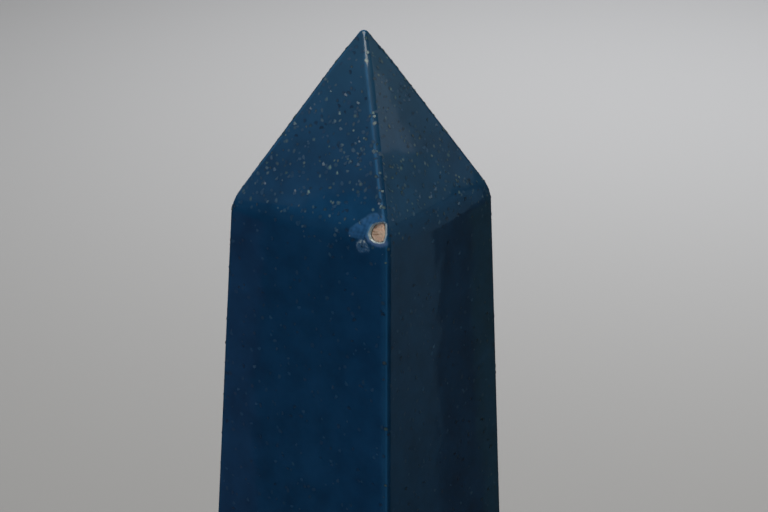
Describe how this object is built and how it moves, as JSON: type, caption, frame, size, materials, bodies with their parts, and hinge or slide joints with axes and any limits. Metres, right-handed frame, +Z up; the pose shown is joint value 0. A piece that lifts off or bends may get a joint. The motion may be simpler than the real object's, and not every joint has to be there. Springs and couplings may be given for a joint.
{
  "type": "tabletop obelisk",
  "caption": "Small square obelisk with a softly pointed top, lacquered deep blue with metal flakes over a white ground on wood, and knocked at one shoulder corner.",
  "frame": {"origin": "centre of the flat base, where the obelisk stands", "axes": "+Z up to the apex; +X and -Y are the outward normals of the two faces that meet at the knocked corner"},
  "size_m": [0.042, 0.042, 0.2051],
  "materials": {
    "core_wood": "matte",
    "white_ground": "matte",
    "blue_lacquer": "gloss"
  },
  "bodies": {
    "root": {"core": "core_wood", "ground_coat": "white_ground", "lacquer_coat": "blue_lacquer"}
  },
  "joints": []
}
